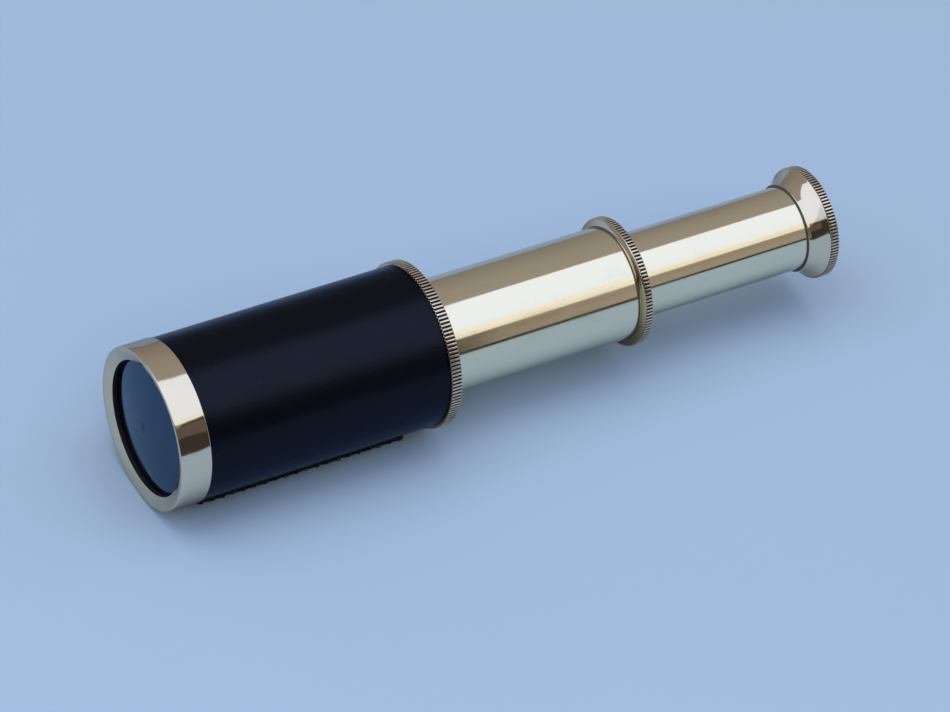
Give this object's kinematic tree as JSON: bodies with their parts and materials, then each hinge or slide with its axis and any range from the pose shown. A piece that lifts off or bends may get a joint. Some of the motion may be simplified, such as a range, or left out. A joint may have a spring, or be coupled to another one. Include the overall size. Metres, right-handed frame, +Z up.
{
  "type": "spyglass",
  "caption": "Hand-held spyglass with a leather-covered barrel, polished brass draw tubes that slide into each other, knurled collars and a cupped eyepiece.",
  "frame": {"origin": "on the optical axis, halfway along the extended length, which is the centre of the bounding box", "axes": "+X along the optical axis from the object glass to the eyepiece, +Z up as the spyglass lies on its side with the seam of the leather underneath, towards -Y"},
  "size_m": [0.1784, 0.0398, 0.0398],
  "materials": {
    "polished_brass": "polished",
    "ring_brass": "polished, knurled edges",
    "inner_brass": "plain turned",
    "leather_black": "smooth, matte",
    "objective_glass": "clear, coated",
    "lens_glass": "clear",
    "blackened_metal": "matte black inside"
  },
  "bodies": {
    "barrel": {"objective_bezel": "ring_brass", "objective_crown": "objective_glass", "objective_flint": "objective_glass", "objective_retaining_ring": "blackened_metal", "barrel_tube": "inner_brass", "leather_wrap": "leather_black", "barrel_collar": "ring_brass", "barrel_guide_sleeve": "inner_brass"},
    "draw1": {"draw1_tube": "polished_brass", "draw1_stop_ring": "inner_brass", "draw1_baffle": "blackened_metal", "draw1_collar": "ring_brass", "draw1_guide_sleeve": "inner_brass"},
    "draw2": {"draw2_tube": "polished_brass", "draw2_stop_ring": "inner_brass", "erector_tube": "blackened_metal", "erector_front_lens": "lens_glass", "erector_front_ring": "blackened_metal", "erector_stop": "blackened_metal", "erector_rear_lens": "lens_glass", "erector_rear_ring": "blackened_metal", "eyepiece_cell": "ring_brass", "eyepiece_spacer": "blackened_metal", "field_lens": "lens_glass", "field_lens_ring": "blackened_metal", "field_stop": "blackened_metal", "eye_lens": "lens_glass"}
  },
  "joints": [
    {"name": "draw1_slide", "type": "slide", "parent": "barrel", "child": "draw1", "axis": [1, 0, 0], "range_m": [-0.0508, 0]},
    {"name": "draw2_slide", "type": "slide", "parent": "draw1", "child": "draw2", "axis": [1, 0, 0], "range_m": [-0.046, 0]}
  ]
}
